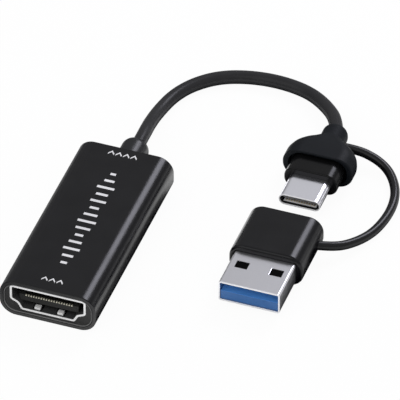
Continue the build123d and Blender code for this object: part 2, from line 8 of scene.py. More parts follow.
# %% The solid model comes in first
import math

import bmesh
import bpy
from mathutils import Matrix, Vector


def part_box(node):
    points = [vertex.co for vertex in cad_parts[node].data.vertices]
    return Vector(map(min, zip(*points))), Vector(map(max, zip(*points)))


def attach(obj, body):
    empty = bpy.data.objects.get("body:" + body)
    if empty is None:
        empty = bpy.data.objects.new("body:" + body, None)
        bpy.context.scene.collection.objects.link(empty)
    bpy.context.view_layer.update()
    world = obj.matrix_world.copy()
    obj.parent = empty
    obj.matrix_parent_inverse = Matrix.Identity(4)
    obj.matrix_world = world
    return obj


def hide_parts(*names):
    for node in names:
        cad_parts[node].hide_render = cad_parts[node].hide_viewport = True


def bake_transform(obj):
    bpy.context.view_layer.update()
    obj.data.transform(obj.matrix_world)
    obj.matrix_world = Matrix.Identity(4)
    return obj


mm = 0.001
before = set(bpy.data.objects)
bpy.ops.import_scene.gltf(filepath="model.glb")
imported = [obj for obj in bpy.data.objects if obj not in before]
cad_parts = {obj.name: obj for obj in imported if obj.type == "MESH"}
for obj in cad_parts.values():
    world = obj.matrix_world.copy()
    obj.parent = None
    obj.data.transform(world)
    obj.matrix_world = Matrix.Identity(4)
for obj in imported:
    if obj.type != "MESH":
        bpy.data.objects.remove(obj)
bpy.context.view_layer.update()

# %% [markdown]
# ## Camera
#
# The product stands in an almost parallel view, from the front right and well above. A very long lens at
# a metre and a half gives that. The width of the view at the object fixes the lens.

# %% Camera
camera_azimuth = math.radians(19.55)
camera_elevation = math.radians(40.4)
camera_distance = 1500 * mm
view_width = 75.1 * mm
sensor_width = 36.0
clip_near_share = 0.1
clip_far_share = 4.0
aim = Vector((16.45 * mm, 16.5 * mm, 4.0 * mm))

towards_camera = Vector((
    math.sin(camera_azimuth) * math.cos(camera_elevation),
    -math.cos(camera_azimuth) * math.cos(camera_elevation),
    math.sin(camera_elevation),
))
camera_data = bpy.data.cameras.new("product_camera")
camera_data.sensor_width = sensor_width
camera_data.lens = sensor_width * camera_distance / view_width
camera_data.clip_start = clip_near_share * camera_distance
camera_data.clip_end = clip_far_share * camera_distance
camera = bpy.data.objects.new("product_camera", camera_data)
bpy.context.collection.objects.link(camera)
camera.location = aim + camera_distance * towards_camera
camera.rotation_mode = "QUATERNION"
camera.rotation_quaternion = (-towards_camera).to_track_quat("-Z", "Y")
bpy.context.scene.camera = camera
print("lens", round(camera_data.lens, 1))

# %% [markdown]
# ## Shared finishes
#
# Moulded plastic, rubber and plating are never perfectly even. Two patterns do most of the work, so each is
# a node group with named inputs: a fine grain with slow patches of wear, and lines left by brushing.
# A material places the group and gives it its own numbers.

# %% Groups, nodes and links


def new_group(name, amounts, pattern):
    """An empty group: a place and amounts go in, a normal, a roughness and a pattern come out."""
    group = bpy.data.node_groups.new(name, "ShaderNodeTree")
    group.interface.new_socket("Place", in_out="INPUT", socket_type="NodeSocketVector")
    for amount in amounts:
        group.interface.new_socket(amount, in_out="INPUT", socket_type="NodeSocketFloat")
    group.interface.new_socket("Normal", in_out="OUTPUT", socket_type="NodeSocketVector")
    for value in ("Roughness", pattern):
        group.interface.new_socket(value, in_out="OUTPUT", socket_type="NodeSocketFloat")
    return group, group.nodes.new("NodeGroupInput"), group.nodes.new("NodeGroupOutput")


def add_node(tree, kind, **values):
    """A node with some of its inputs or settings given by name."""
    node = tree.nodes.new(kind)
    for name, value in values.items():
        label = name.replace("_", " ").title()
        if label in node.inputs:
            node.inputs[label].default_value = value
        else:
            setattr(node, name, value)
    return node


def link_all(tree, *pairs):
    """Links from outputs to inputs, one for each pair."""
    for source, target in pairs:
        tree.links.new(source, target)


def ramp(tree, value, from_min, from_max, to_min, to_max, smooth=False):
    """A value carried from one range to another, and held at its ends."""
    change = add_node(
        tree, "ShaderNodeMapRange", from_min=from_min, from_max=from_max, to_min=to_min, to_max=to_max,
        interpolation_type="SMOOTHSTEP" if smooth else "LINEAR",
    )
    tree.links.new(value, change.inputs["Value"])
    return change.outputs["Result"]


def combine(tree, operation, first, *others):
    """Values multiplied together, or the largest of them."""
    result = first
    for other in others:
        both = add_node(tree, "ShaderNodeMath", operation=operation)
        link_all(tree, (result, both.inputs[0]), (other, both.inputs[1]))
        result = both.outputs[0]
    return result


def split(tree, coordinates):
    """The X, Y and Z of a texture coordinate."""
    place = tree.nodes.new("ShaderNodeTexCoord")
    parts = tree.nodes.new("ShaderNodeSeparateXYZ")
    tree.links.new(place.outputs[coordinates], parts.inputs[0])
    return parts.outputs


# %% [markdown]
# The grain group takes a place, so that it works on any piece, and puts out a bumpy normal, a roughness
# that drifts between two values, and the slow patches themselves for tinting a colour.

# %% Grain and patches
# Noise keeps near its middle, so this part of its range is stretched to the whole
noise_low = 0.35
noise_high = 0.65
patch_scale = 150.0

grain_group, grain_in, grain_out = new_group(
    "grain_and_patches", ("Grain Scale", "Grain Depth", "Patch Scale", "Smoothest", "Roughest"), "Patches",
)
fine_noise = add_node(grain_group, "ShaderNodeTexNoise", detail=3.0, roughness=0.6)
slow_noise = add_node(grain_group, "ShaderNodeTexNoise", detail=4.0, roughness=0.55)
grain_bump = add_node(grain_group, "ShaderNodeBump", strength=0.7)
patches = ramp(grain_group, slow_noise.outputs["Fac"], noise_low, noise_high, 0.0, 1.0)
patch_rough = add_node(grain_group, "ShaderNodeMapRange")
link_all(
    grain_group,
    (grain_in.outputs["Place"], fine_noise.inputs["Vector"]),
    (grain_in.outputs["Grain Scale"], fine_noise.inputs["Scale"]),
    (grain_in.outputs["Place"], slow_noise.inputs["Vector"]),
    (grain_in.outputs["Patch Scale"], slow_noise.inputs["Scale"]),
    (fine_noise.outputs["Fac"], grain_bump.inputs["Height"]),
    (grain_in.outputs["Grain Depth"], grain_bump.inputs["Distance"]),
    (patches, patch_rough.inputs["Value"]),
    (grain_in.outputs["Smoothest"], patch_rough.inputs["To Min"]),
    (grain_in.outputs["Roughest"], patch_rough.inputs["To Max"]),
    (grain_bump.outputs["Normal"], grain_out.inputs["Normal"]),
    (patch_rough.outputs["Result"], grain_out.inputs["Roughness"]),
    (patches, grain_out.inputs["Patches"]),
)
print("group", grain_group.name, len(grain_group.nodes), "nodes")

# %% [markdown]
# Plated sheet metal keeps faint lines along the way it was drawn or brushed. Noise that is squeezed across
# the line and stretched along it gives them, with a little of it in the roughness too.

# %% Brushed lines
line_stretch_scale = (1.0, 0.03, 1.0)

brushed_group, brushed_in, brushed_out = new_group(
    "brushed_lines", ("Line Scale", "Line Depth", "Smoothest", "Roughest"), "Lines",
)
line_stretch = add_node(brushed_group, "ShaderNodeMapping", scale=line_stretch_scale)
line_noise = add_node(brushed_group, "ShaderNodeTexNoise", detail=3.0, roughness=0.6)
line_bump = add_node(brushed_group, "ShaderNodeBump", strength=0.2)
line_rough = add_node(brushed_group, "ShaderNodeMapRange", from_min=noise_low, from_max=noise_high)
link_all(
    brushed_group,
    (brushed_in.outputs["Place"], line_stretch.inputs["Vector"]),
    (line_stretch.outputs["Vector"], line_noise.inputs["Vector"]),
    (brushed_in.outputs["Line Scale"], line_noise.inputs["Scale"]),
    (line_noise.outputs["Fac"], line_bump.inputs["Height"]),
    (brushed_in.outputs["Line Depth"], line_bump.inputs["Distance"]),
    (line_noise.outputs["Fac"], line_rough.inputs["Value"]),
    (brushed_in.outputs["Smoothest"], line_rough.inputs["To Min"]),
    (brushed_in.outputs["Roughest"], line_rough.inputs["To Max"]),
    (line_bump.outputs["Normal"], brushed_out.inputs["Normal"]),
    (line_rough.outputs["Result"], brushed_out.inputs["Roughness"]),
    (line_noise.outputs["Fac"], brushed_out.inputs["Lines"]),
)
print("group", brushed_group.name, len(brushed_group.nodes), "nodes")

# %% [markdown]
# A material is a shader, one of the groups, and two near colours that the pattern mixes. Numbers that are
# the same all over the surface stay on the shader itself.

# %% A material from a group


def finish_material(name, group, pattern, dark, light, amounts, shader_values):
    """A material whose colour drifts from dark to light with the group's pattern."""
    material = bpy.data.materials.new(name)
    material.use_nodes = True
    tree = material.node_tree
    shader = tree.nodes["Principled BSDF"]
    place = tree.nodes.new("ShaderNodeTexCoord")
    surface = tree.nodes.new("ShaderNodeGroup")
    surface.node_tree = group
    tint = add_node(tree, "ShaderNodeMix", data_type="RGBA")
    tint.inputs["A"].default_value = (*dark, 1.0)
    tint.inputs["B"].default_value = (*light, 1.0)
    link_all(
        tree,
        (place.outputs["Object"], surface.inputs["Place"]),
        (surface.outputs[pattern], tint.inputs["Factor"]),
        (tint.outputs["Result"], shader.inputs["Base Color"]),
        (surface.outputs["Roughness"], shader.inputs["Roughness"]),
        (surface.outputs["Normal"], shader.inputs["Normal"]),
    )
    for node, values in ((surface, amounts), (shader, shader_values)):
        for socket_name, value in values.items():
            node.inputs[socket_name].default_value = value
    return material


def moulded(name, dark, light, smoothest, roughest, gloss, grain_scale, grain_depth):
    """Moulded plastic, rubber or paint. The depth of its grain is in millimetres."""
    amounts = {
        "Grain Scale": grain_scale,
        "Grain Depth": grain_depth * mm,
        "Patch Scale": patch_scale,
        "Smoothest": smoothest,
        "Roughest": roughest,
    }
    return finish_material(name, grain_group, "Patches", dark, light, amounts, {"Specular IOR Level": gloss})


def plated(name, dark, light, smoothest, roughest, line_scale, line_depth, metallic):
    """Plated or bare metal with faint drawn lines. The depth of a line is in millimetres."""
    amounts = {
        "Line Scale": line_scale,
        "Line Depth": line_depth * mm,
        "Smoothest": smoothest,
        "Roughest": roughest,
    }
    return finish_material(name, brushed_group, "Lines", dark, light, amounts, {"Metallic": metallic})


# %% [markdown]
# The blacks differ more than they seem to. The sleeve is a satin coating with a soft sheen, the collar and
# the adapter are glossier plastic, and the hood is matte rubber with a slightly cold tint.

# %% Blacks, plating and colours
# Each row: darkest and lightest colour, smoothest, roughest, gloss, grain scale, grain depth in mm
moulded_rows = {
    "coated_black": ((0.003, 0.003, 0.0046), (0.005, 0.005, 0.0068), 0.22, 0.27, 0.3, 5000.0, 0.002),
    "plate_grey": ((0.03, 0.03, 0.03), (0.042, 0.042, 0.041), 0.5, 0.62, 0.35, 4200.0, 0.006),
    # The border's lighter grey is a painted highlight
    "border_highlight_grey": ((0.15, 0.15, 0.15), (0.2, 0.2, 0.2), 0.35, 0.5, 0.4, 5000.0, 0.003),
    "spring_grey": ((0.75, 0.75, 0.77), (0.9, 0.9, 0.92), 0.35, 0.5, 0.6, 5000.0, 0.002),
    "relief_black": ((0.006, 0.0065, 0.009), (0.009, 0.0095, 0.012), 0.3, 0.36, 0.4, 4200.0, 0.004),
    "cable_black": ((0.024, 0.024, 0.026), (0.03, 0.03, 0.032), 0.3, 0.36, 0.16, 3600.0, 0.003),
    "tether_black": ((0.005, 0.005, 0.006), (0.009, 0.009, 0.01), 0.24, 0.3, 0.3, 4200.0, 0.003),
    "hood_black": ((0.004, 0.0053, 0.0078), (0.0055, 0.0075, 0.0105), 0.5, 0.62, 0.17, 3600.0, 0.008),
    "collar_black": ((0.004, 0.004, 0.0045), (0.006, 0.006, 0.0065), 0.2, 0.25, 0.18, 5000.0, 0.001),
    "adapter_black": ((0.002, 0.002, 0.0034), (0.0035, 0.0035, 0.0052), 0.22, 0.27, 0.3, 5000.0, 0.002),
    "tongue_grey": ((0.02, 0.02, 0.019), (0.028, 0.028, 0.027), 0.5, 0.65, 0.3, 5000.0, 0.003),
    "carrier_black": ((0.003, 0.003, 0.003), (0.006, 0.006, 0.006), 0.5, 0.65, 0.15, 5000.0, 0.003),
    "chip_black": ((0.012, 0.012, 0.014), (0.03, 0.03, 0.033), 0.4, 0.6, 0.5, 9000.0, 0.004),
    "board_green": ((0.01, 0.08, 0.035), (0.04, 0.2, 0.09), 0.25, 0.4, 0.5, 1500.0, 0.004),
    "thermal_grey": ((0.3, 0.36, 0.42), (0.4, 0.46, 0.52), 0.75, 0.9, 0.2, 1200.0, 0.02),
    "ceramic_tan": ((0.24, 0.15, 0.08), (0.4, 0.28, 0.17), 0.35, 0.5, 0.5, 6000.0, 0.003),
    "blue_plastic": ((0.033, 0.13, 0.36), (0.05, 0.165, 0.43), 0.35, 0.5, 0.4, 3600.0, 0.003),
    # Near-black painted shade for the plate under the wide plug's windows
    "shade_plate_black": ((0.0006, 0.0006, 0.0006), (0.001, 0.001, 0.001), 0.7, 0.8, 0.05, 5000.0, 0.003),
    "print_white": ((0.78, 0.78, 0.8), (0.9, 0.9, 0.92), 0.5, 0.62, 0.3, 6000.0, 0.002),
}
# Each row: darkest and lightest colour, smoothest, roughest, line scale, line depth in mm, metallic
plated_rows = {
    # The socket's near-white, barely metallic colour is a painted highlight on its rim; behind the rim it
    # takes painted shade
    "socket_plating_painted_light": ((0.98, 0.98, 0.98), (1.0, 1.0, 1.0), 0.25, 0.35, 6000.0, 0.0003, 0.05),
    "plug_plating": ((0.91, 0.91, 0.99), (0.94, 0.94, 1.0), 0.2, 0.22, 4000.0, 0.00002, 1.0),
    "wide_plating": ((0.71, 0.71, 0.75), (0.73, 0.73, 0.77), 0.29, 0.3, 4000.0, 0.00002, 1.0),
    # The latch bumps' white, barely metallic colour is a painted highlight
    "spring_metal_painted_light": ((0.93, 0.93, 0.93), (1.0, 1.0, 1.0), 0.3, 0.45, 6000.0, 0.0003, 0.05),
    # The contact tips' pale, half-metallic gold is a painted highlight
    "tip_gold": ((0.8, 0.76, 0.6), (0.9, 0.87, 0.72), 0.3, 0.4, 6000.0, 0.0003, 0.4),
    "contact_gold": ((0.85, 0.68, 0.38), (0.95, 0.8, 0.5), 0.25, 0.4, 6000.0, 0.0003, 1.0),
    "can_metal": ((0.5, 0.5, 0.5), (0.65, 0.65, 0.64), 0.3, 0.45, 6000.0, 0.001, 1.0),
    "solder_metal": ((0.5, 0.5, 0.52), (0.75, 0.75, 0.77), 0.2, 0.45, 3000.0, 0.01, 1.0),
}
wire_colours = {
    "red_wire": (0.5, 0.02, 0.02),
    "white_wire": (0.8, 0.8, 0.77),
    "green_wire": (0.02, 0.3, 0.07),
    "black_wire": (0.012, 0.012, 0.012),
}
wire_light_share = 1.25
wire_finish = (0.35, 0.5, 0.5, 3000.0, 0.004)
for wire, colour in wire_colours.items():
    light_colour = tuple(wire_light_share * part for part in colour)
    moulded_rows[wire + "_skin"] = (colour, light_colour, *wire_finish)

looks = {name: moulded(name, *row) for name, row in moulded_rows.items()}
looks.update((name, plated(name, *row)) for name, row in plated_rows.items())

# %% [markdown]
# Some colours here are painted light and shade that change over the piece. The top of the blue tongue is
# painted paler than its front, a painted light that lifts its shade under the shell: the surface's own upward
# direction picks it out. The sleeve's front lip is painted grey as a painted highlight where it faces
# forwards, most of all low down. The socket's contacts have a painted highlight at their tips and painted
# shade behind them, the socket's white shell is a painted highlight at its rim with painted shade behind it,
# and the two plug shells have a painted highlight on their rim: the place along Y picks those out.

# %% Painted light and shade: a paler top, a grey lip, bright tips, dark insides and pale rims
# Painted light on the blue tongue's top, which lies in shade under the shell
painted_light_blue = (0.1, 0.34, 0.86)
# Painted highlight on the sleeve's forward-facing front lip, strongest low down
lip_painted_highlight = (0.08, 0.08, 0.08)
# How far the lip's surface faces forwards where the painted highlight starts and where it is full
lip_facing_start = -0.75
lip_facing_full = -0.95
lip_top_z = 6 * mm
lip_foot_z = 1 * mm
lip_top_share = 0.25
lip_start_y = -20 * mm
lip_full_y = -21 * mm
contact_tip_y = -20.66 * mm
tip_depth = 0.25 * mm
contact_painted_shade = (0.012, 0.01, 0.006)
socket_rim_y = -21.35 * mm
socket_rim_depth = 0.05 * mm
socket_rim_fade = 0.04 * mm
socket_painted_shade = (0.055, 0.055, 0.056)
slim_rim_y = 22.45 * mm
wide_rim_y = -6.2 * mm
rim_depth = 0.12 * mm
rim_fade = 0.1 * mm
rim_highlight_colour = (0.95, 0.95, 0.97)
rim_highlight_metallic = 0.2


def tint_where(tree, mask, colour):
    """Mix a colour into a look's own, as far as a mask says."""
    base = tree.nodes["Principled BSDF"].inputs["Base Color"]
    mix = add_node(tree, "ShaderNodeMix", data_type="RGBA")
    mix.inputs["B"].default_value = (*colour, 1.0)
    tree.links.new(mask, mix.inputs["Factor"])
    tree.links.new(base.links[0].from_socket, mix.inputs["A"])
    tree.links.new(mix.outputs["Result"], base)


def along(tree, coordinates, axis, start, end, start_value=0.0, end_value=1.0):
    """A value that changes along one axis of a texture coordinate."""
    return ramp(tree, split(tree, coordinates)[axis], start, end, start_value, end_value)


def paint_rim_highlight(tree, rim_y):
    """Paint a highlight on the first strip of a plated shell, its rim: pale and less mirror-like."""
    start, end = rim_y + rim_depth, rim_y + rim_depth + rim_fade
    tint_where(tree, along(tree, "Object", "Y", end, start), rim_highlight_colour)
    shine = along(tree, "Object", "Y", start, end, rim_highlight_metallic, 1.0)
    tree.links.new(shine, tree.nodes["Principled BSDF"].inputs["Metallic"])


# Painted light: the upward-facing top of the blue tongue is painted paler to lift its shade.
tree = looks["blue_plastic"].node_tree
tint_where(tree, along(tree, "Normal", "Z", 0.0, 1.0), painted_light_blue)

# Painted highlight: the sleeve's lip is painted grey where it faces forwards, most of all low down.
tree = looks["coated_black"].node_tree
lip_highlight_mask = combine(
    tree, "MULTIPLY",
    along(tree, "Normal", "Y", lip_facing_start, lip_facing_full),
    along(tree, "Object", "Z", lip_top_z, lip_foot_z, lip_top_share, 1.0),
    along(tree, "Object", "Y", lip_start_y, lip_full_y),
)
tint_where(tree, lip_highlight_mask, lip_painted_highlight)

# Painted shade darkens the contacts behind their tips, inside the socket; the pale tips are a painted
# highlight.
tree = looks["tip_gold"].node_tree
tips_end = contact_tip_y + tip_depth
tint_where(tree, along(tree, "Object", "Y", tips_end, tips_end + rim_fade), contact_painted_shade)

# Painted shade darkens the socket shell behind its bright rim, deep inside.
tree = looks["socket_plating_painted_light"].node_tree
socket_end = socket_rim_y + socket_rim_depth
tint_where(tree, along(tree, "Object", "Y", socket_end, socket_end + socket_rim_fade), socket_painted_shade)

# Painted highlight on the rims of the two plug shells
paint_rim_highlight(looks["plug_plating"].node_tree, slim_rim_y)
paint_rim_highlight(looks["wide_plating"].node_tree, wide_rim_y)
print("materials", len(bpy.data.materials))

# %% [markdown]
# ## Building blocks for the shells
#
# Almost every shell here is a rounded rectangle drawn out along Y. One square with its corners bevelled
# gives that outline. A piece is then a list of stations, each a width, a height, a corner radius and a
# place along Y, and its skin is a row of bands between them. Each band bridges two fresh rings of the same
# number of corners, which can't be paired the wrong way round, and merging doubles joins the bands later.

# %% Rings and the skin over them
corner_segments = 16
weld_distance = 0.0005 * mm
sharp_angle = math.radians(38)
facing_front = Matrix.Rotation(math.radians(90), 4, "X")


def ring(bm, axis, width, height, radius, y):
    """The edges of a rounded rectangle across Y, centred on an axis along Y."""
    known = set(bm.faces)
    place = Vector((axis.x, y, axis.z))
    shape = Matrix.Translation(place) @ facing_front @ Matrix.Diagonal((width, height, 1.0, 1.0))
    square = bmesh.ops.create_grid(bm, x_segments=1, y_segments=1, size=0.5, matrix=shape)
    bmesh.ops.bevel(
        bm, geom=square["verts"], offset=radius, segments=corner_segments, profile=0.5,
        affect="VERTICES", material=-1,
    )
    face = next(face for face in bm.faces if face not in known)
    edges = list(face.edges)
    bmesh.ops.delete(bm, geom=[face], context="FACES_ONLY")
    return edges


def skin(axis, stations, closed=False):
    """A shell through stations: capped at both ends, or closed on itself like a tube with a wall."""
    bm = bmesh.new()
    following = stations[1:] + stations[:1] if closed else stations[1:]
    for before, after in zip(stations, following):
        bmesh.ops.bridge_loops(bm, edges=ring(bm, axis, *before) + ring(bm, axis, *after))
    if not closed:
        for end in (stations[0], stations[-1]):
            bmesh.ops.contextual_create(bm, geom=ring(bm, axis, *end))
    return bm


def rounded_end(width, height, radius, y, inward, edge, steps=6):
    """Stations that turn a side wall into an end face at y. A negative edge rounds the rim of a hole."""
    stations = []
    for step in range(steps + 1):
        turn = step / steps * math.pi / 2
        inset = edge * (1 - math.cos(turn))
        back = abs(edge) * (1 - math.sin(turn))
        stations.append((width - 2 * inset, height - 2 * inset, radius - inset, y + inward * back))
    return stations


def ring_edges(bm, y, reach=0.001 * mm):
    """The sharp edges that lie in the plane at y."""
    return [
        edge for edge in bm.edges
        if all(abs(vert.co.y - y) < reach for vert in edge.verts)
        and edge.calc_face_angle(0) > sharp_angle
    ]


# %% [markdown]
# Every new piece ends the same way: doubles merged, normals outwards, smooth shading that keeps the sharp
# edges, and weighted normals so that large flat faces stay flat beside their rounded corners.

# %% Finishing a piece


def add_piece(bm, name, body, nodes, look):
    """A finished mesh piece that rides on a body and stands for its solid nodes."""
    bmesh.ops.remove_doubles(bm, verts=bm.verts, dist=weld_distance)
    bmesh.ops.recalc_face_normals(bm, faces=bm.faces)
    mesh = bpy.data.meshes.new(name)
    bm.to_mesh(mesh)
    bm.free()
    mesh.shade_smooth()
    mesh.set_sharp_from_angle(angle=sharp_angle)
    mesh.materials.append(looks[look])
    piece = bpy.data.objects.new(name, mesh)
    bpy.context.collection.objects.link(piece)
    weighted = piece.modifiers.new("even_normals", "WEIGHTED_NORMAL")
    weighted.keep_sharp = True
    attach(piece, body)
    if nodes:
        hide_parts(*nodes)
    print(name, len(mesh.polygons), "faces")
    return piece


def node_size(node):
    """The lowest corner, the highest corner and the middle of a solid node."""
    low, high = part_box(node)
    low, high = Vector(low), Vector(high)
    return low, high, (low + high) / 2


# %% [markdown]
# ## The cords
#
# Both cords are shown from end to end, so their lengths are the real ones. Each is one smooth spline whose
# control points are the route of the solid tube. The cable comes straight out of the strain relief, sinks
# to the table, sweeps round and climbs into the hood.

# %% The cable's spline
cable_route = (
    (0.0, 0.0256, 0.004),
    (0.0, 0.0308, 0.004),
    (-0.0006, 0.0362, 0.0027),
    (-0.0006, 0.0417, 0.00155),
    (0.0004, 0.0468, 0.00135),
    (0.0028, 0.0512, 0.00135),
    (0.0068, 0.0549, 0.00135),
    (0.0121, 0.0569, 0.00135),
    (0.0181, 0.0575, 0.00135),
    (0.0242, 0.0564, 0.0014),
    (0.0288, 0.0532, 0.0019),
    (0.0328, 0.0484, 0.0028),
    (0.0342, 0.0436, 0.0035),
)
cable_diameter = 2.65 * mm
cord_steps = 12
cord_roundness = 8


def cord_curve(name, route, diameter):
    """A round cord along one smooth spline."""
    data = bpy.data.curves.new(name, "CURVE")
    data.dimensions = "3D"
    spline = data.splines.new("NURBS")
    spline.points.add(len(route) - 1)
    for point, place in zip(spline.points, route):
        point.co = (*place, 1.0)
    spline.order_u = 3
    spline.use_endpoint_u = True
    spline.resolution_u = cord_steps
    data.bevel_depth = diameter / 2
    data.bevel_resolution = cord_roundness
    data.use_fill_caps = True
    piece = bpy.data.objects.new(name, data)
    bpy.context.collection.objects.link(piece)
    return piece


def centre_line(piece):
    """The points that a cord's spline passes through."""
    bare = piece.copy()
    bare.data = piece.data.copy()
    bare.data.bevel_depth = 0
    line = bpy.data.meshes.new_from_object(bare)
    points = [vert.co.copy() for vert in line.vertices]
    bpy.data.objects.remove(bare)
    bpy.data.meshes.remove(line)
    return points


def line_length(points):
    """The length of a line through points."""
    return sum((after - before).length for before, after in zip(points, points[1:]))


cable = cord_curve("cable", cable_route, cable_diameter)
cable.data.materials.append(looks["cable_black"])
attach(cable, "root")
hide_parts("cable_jacket")
cable_length = line_length(centre_line(cable))
print("cable length, mm", round(cable_length / mm, 1))

# %% [markdown]
# The tether joins a piece that stays and a piece that slides, so it has to bend. It is turned into a mesh
# tube.

# %% The tether's tube
tether_route = (
    (0.0352, 0.0407, 0.0034),
    (0.0391, 0.0415, 0.00295),
    (0.0428, 0.0413, 0.00205),
    (0.0458, 0.0399, 0.0013),
    (0.0480, 0.0371, 0.00097),
    (0.0495, 0.0336, 0.00095),
    (0.0501, 0.0295, 0.00095),
    (0.0498, 0.0252, 0.00097),
    (0.0488, 0.0211, 0.0011),
    (0.0469, 0.0173, 0.0016),
    (0.0442, 0.0139, 0.0024),
    (0.0409, 0.0126, 0.003),
)
tether_diameter = 1.8 * mm

tether_curve = cord_curve("tether_curve", tether_route, tether_diameter)
tether_points = centre_line(tether_curve)
tether_mesh = bpy.data.meshes.new_from_object(tether_curve)
bpy.data.objects.remove(tether_curve)
tether_mesh.name = "tether"
tether_mesh.shade_smooth()
tether_mesh.materials.clear()
tether_mesh.materials.append(looks["tether_black"])
tether = bpy.data.objects.new("tether", tether_mesh)
bpy.context.collection.objects.link(tether)
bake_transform(tether)
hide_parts("tether_cord")

# %% [markdown]
# ## The box
#
# The sleeve is one extruded tube with round long edges. Its skin goes out along the outer wall and back
# along the inner one, and its two mouths have a small soft edge that catches the light.

# %% Sleeve
sleeve_radius = 3.2 * mm
sleeve_wall = 0.8 * mm
mouth_edge = 0.2 * mm

sleeve_low, sleeve_high, sleeve_middle = node_size("housing_sleeve")
sleeve_size = sleeve_high - sleeve_low
sleeve_outside = (sleeve_size.x, sleeve_size.z, sleeve_radius)
sleeve_inside = (
    sleeve_size.x - 2 * sleeve_wall, sleeve_size.z - 2 * sleeve_wall, sleeve_radius - sleeve_wall,
)
bm = skin(sleeve_middle, [
    *rounded_end(*sleeve_inside, sleeve_high.y, -1, -mouth_edge),
    *reversed(rounded_end(*sleeve_outside, sleeve_high.y, -1, mouth_edge)),
    *rounded_end(*sleeve_outside, sleeve_low.y, 1, mouth_edge),
    *reversed(rounded_end(*sleeve_inside, sleeve_low.y, 1, -mouth_edge)),
], closed=True)
add_piece(bm, "sleeve", "root", ["housing_sleeve"], "coated_black")

# %% [markdown]
# Inside the front mouth the plate has a fine raised border, painted a lighter grey than the plate as a
# painted highlight.

# %% Front border
border_fit = 0.02 * mm
border_width = 0.17 * mm
border_edge = 0.08 * mm
border_setback = 0.08 * mm

front_low, _, _ = node_size("front_plate")
inside_width, inside_height, inside_radius = sleeve_inside


def inset_outline(inset):
    """The sleeve's inner outline, moved inwards."""
    return (inside_width - 2 * inset, inside_height - 2 * inset, inside_radius - inset)


border_outside = inset_outline(border_fit)
border_inside = inset_outline(border_fit + border_width)
border_y = sleeve_low.y + border_setback
bm = skin(sleeve_middle, [
    (*border_inside, front_low.y),
    (*border_outside, front_low.y),
    *rounded_end(*border_outside, border_y, 1, border_edge),
    *reversed(rounded_end(*border_inside, border_y, 1, -border_edge)),
], closed=True)
add_piece(bm, "front_border", "root", [], "border_highlight_grey")

# %% [markdown]
# In the socket, nineteen gold contacts lie on the tongue, and each turns down over its front edge. Two sprung
# bumps in the floor hold the plug. Both are a small side outline, drawn out across the socket.

# %% Socket contacts and latch bumps
contact_count = 19
contact_pitch = 0.5 * mm
contact_width = 0.26 * mm
contact_proud = 0.035 * mm
contact_thickness = 0.12 * mm
tip_height = 0.24 * mm
tip_reach = 0.21 * mm
tip_thickness = 0.05 * mm
bump_x = 2.25 * mm
bump_width = 1.12 * mm
bump_height = 0.42 * mm
bump_foot = 0.05 * mm
# Distances behind the socket's front rim of the bump's foot, the two ends of its top, and its heel
bump_steps = (0.5 * mm, 0.54 * mm, 1.46 * mm, 1.6 * mm)


def draw_out(bm, corners, way):
    """A solid piece between a face through corners and the same face moved along a vector."""
    face = bm.faces.new([bm.verts.new(corner) for corner in corners])
    drawn = bmesh.ops.extrude_face_region(bm, geom=[face])
    moved = [item for item in drawn["geom"] if isinstance(item, bmesh.types.BMVert)]
    bmesh.ops.translate(bm, verts=moved, vec=way)


def draw_across(bm, x, width, outline):
    """A side outline of (y, z) points, drawn out by a width across X."""
    draw_out(bm, [(x - width / 2, y, z) for y, z in outline], (width, 0, 0))


contact_low, contact_high, _ = node_size("video_contacts")
top, tip, front = contact_high.z, contact_low.y - tip_reach, contact_low.y
bm = bmesh.new()
for index in range(contact_count):
    draw_across(bm, (index - (contact_count - 1) / 2) * contact_pitch, contact_width, (
        (contact_high.y, top),
        (tip, top),
        (tip, top - tip_height),
        (tip + tip_thickness, top - tip_height),
        (tip + tip_thickness, top - contact_proud),
        (front, top - contact_proud),
        (front, top - contact_thickness),
        (contact_high.y, top - contact_thickness),
    ))
add_piece(bm, "socket_contacts", "root", ["video_contacts"], "tip_gold")

socket_low, _, _ = node_size("video_socket_shell")
socket_wall = 0.45 * mm
floor_z = socket_low.z + socket_wall
bump_y = [socket_low.y + step for step in bump_steps]
bm = bmesh.new()
for side in (-1, 1):
    draw_across(bm, side * bump_x, bump_width, (
        (bump_y[0], floor_z - bump_foot),
        (bump_y[1], floor_z + bump_height),
        (bump_y[2], floor_z + bump_height),
        (bump_y[3], floor_z - bump_foot),
    ))
add_piece(bm, "latch_bumps", "root", [], "spring_metal_painted_light")

# %% [markdown]
# The strain relief is turned, like a spool: a flange inside, a neck through the rear plate, and a boot with
# a well rounded end. Its outline is a line of a few points, spun round the cable's axis.

# %% Strain relief
boot_radius = 2.7 * mm
boot_end_radius = 2.0 * mm
boot_end_segments = 12
relief_neck_radius = 2.1 * mm
flange_radius = 2.6 * mm
spin_steps = 64

relief_low, relief_high, relief_middle = node_size("cable_strain_relief")
plate_low, plate_high, _ = node_size("rear_plate")
bm = bmesh.new()
spool = [
    (relief_low.y, 0.0),
    (relief_low.y, flange_radius),
    (plate_low.y, flange_radius),
    (plate_low.y, relief_neck_radius),
    (plate_high.y, relief_neck_radius),
    (plate_high.y, boot_radius),
    (relief_high.y, boot_radius),
    (relief_high.y, 0.0),
]
spool_verts = [bm.verts.new((0, y, relief_middle.z + out)) for y, out in spool]
spool_edges = [bm.edges.new(pair) for pair in zip(spool_verts, spool_verts[1:])]
bmesh.ops.spin(
    bm, geom=spool_verts + spool_edges, cent=(0, 0, relief_middle.z), axis=(0, 1, 0),
    angle=2 * math.pi, steps=spin_steps, use_merge=True,
)
bmesh.ops.remove_doubles(bm, verts=bm.verts, dist=weld_distance)
bmesh.ops.bevel(
    bm, geom=ring_edges(bm, relief_high.y), offset=boot_end_radius, segments=boot_end_segments,
    profile=0.5, affect="EDGES", material=-1,
)
